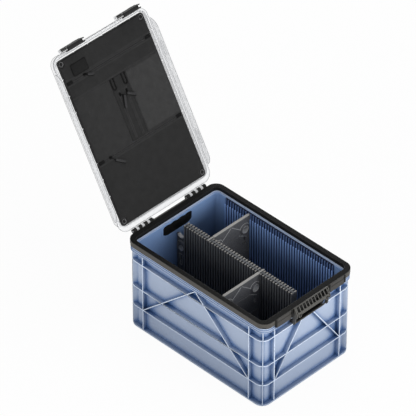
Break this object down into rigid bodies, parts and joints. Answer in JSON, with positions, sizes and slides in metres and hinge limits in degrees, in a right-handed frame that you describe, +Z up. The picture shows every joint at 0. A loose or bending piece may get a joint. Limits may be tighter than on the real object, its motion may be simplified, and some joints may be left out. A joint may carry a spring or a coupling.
{
  "type": "storage crate",
  "caption": "Ribbed stacking crate with a black rim, folding grips, slotted divider walls, lift-out dividers and a clear latching lid that carries a zipped organiser.",
  "frame": {"origin": "centre of the crate's base, on the surface it stands on", "axes": "+Z up, +Y towards the lid's hinges, +X across the crate; the latches and front grip are at -Y"},
  "size_m": [0.4184, 0.9698, 0.9216],
  "materials": {
    "blue_plastic": "satin moulded",
    "black_plastic": "fine grained",
    "seal_rubber": "matt",
    "steel": "plain",
    "black_screws": "matt black",
    "clear_plastic": "clear",
    "board_plastic": "matt",
    "dark_cloth": "woven nylon",
    "grey_cloth": "woven nylon",
    "zip_tape": "woven tape",
    "divider_plastic": "satin moulded"
  },
  "bodies": {
    "crate": {"crate_body": "blue_plastic", "rim_frame": "black_plastic", "rim_gasket": "seal_rubber", "rim_screws": "steel", "front_housing": "black_plastic", "rear_housing": "black_plastic", "front_handle": "black_plastic", "rear_handle": "black_plastic", "front_handle_screws": "black_screws", "rear_handle_screws": "black_screws", "catch_left": "black_plastic", "catch_right": "black_plastic", "hinge_pin_left": "steel", "hinge_pin_right": "steel"},
    "lid": {"lid_shell": "clear_plastic", "latch_pin_left": "steel", "latch_pin_right": "steel", "organiser_board": "board_plastic", "board_fasteners": "black_plastic", "top_panel": "dark_cloth", "top_pocket": "dark_cloth", "left_pocket": "dark_cloth", "right_pocket": "grey_cloth", "centre_strip": "dark_cloth", "bottom_pocket": "dark_cloth", "upper_zip": "zip_tape", "lower_zip": "zip_tape", "centre_zips": "zip_tape", "zip_end_tabs": "black_plastic", "pen_loops": "zip_tape", "blank_patch": "zip_tape"},
    "left_latch": {"latch_left": "black_plastic"},
    "right_latch": {"latch_right": "black_plastic"},
    "upper_slider": {"upper_zip_slider": "black_plastic"},
    "lower_slider": {"lower_zip_slider": "black_plastic"},
    "centre_slider_l": {"centre_slider_left": "black_plastic"},
    "centre_slider_r": {"centre_slider_right": "black_plastic"},
    "divider_long": {"long_divider": "divider_plastic"},
    "divider_rear": {"cross_divider_rear": "divider_plastic"},
    "divider_front": {"cross_divider_front": "divider_plastic"}
  },
  "joints": [
    {"name": "lid_hinge", "type": "hinge", "parent": "crate", "child": "lid", "pos_m": [0, 0.3145, 0.341], "axis": [-1, 0, 0], "range_deg": [-120, 0]},
    {"name": "left_latch_pivot", "type": "hinge", "parent": "lid", "child": "left_latch", "pos_m": [-0.122, 0.62938, 0.8884], "axis": [-1, 0, 0], "range_deg": [-10, 80]},
    {"name": "right_latch_pivot", "type": "hinge", "parent": "lid", "child": "right_latch", "pos_m": [0.122, 0.62938, 0.8884], "axis": [-1, 0, 0], "range_deg": [-10, 80]},
    {"name": "upper_zip_slide", "type": "slide", "parent": "lid", "child": "upper_slider", "axis": [1, 0, 0], "range_m": [-0.045, 0.253]},
    {"name": "lower_zip_slide", "type": "slide", "parent": "lid", "child": "lower_slider", "axis": [1, 0, 0], "range_m": [-0.019, 0.269]},
    {"name": "left_centre_zip_slide", "type": "slide", "parent": "lid", "child": "centre_slider_l", "axis": [0, -0.5, -0.866], "range_m": [-0.0065, 0.108]},
    {"name": "right_centre_zip_slide", "type": "slide", "parent": "lid", "child": "centre_slider_r", "axis": [0, -0.5, -0.866], "range_m": [-0.0065, 0.108]},
    {"name": "long_divider_lift", "type": "slide", "parent": "crate", "child": "divider_long", "axis": [0, 0, 1], "range_m": [0, 0.345]},
    {"name": "rear_divider_lift", "type": "slide", "parent": "divider_long", "child": "divider_rear", "axis": [0, 0, 1], "range_m": [0, 0.345]},
    {"name": "front_divider_lift", "type": "slide", "parent": "divider_long", "child": "divider_front", "axis": [0, 0, 1], "range_m": [0, 0.345]}
  ]
}
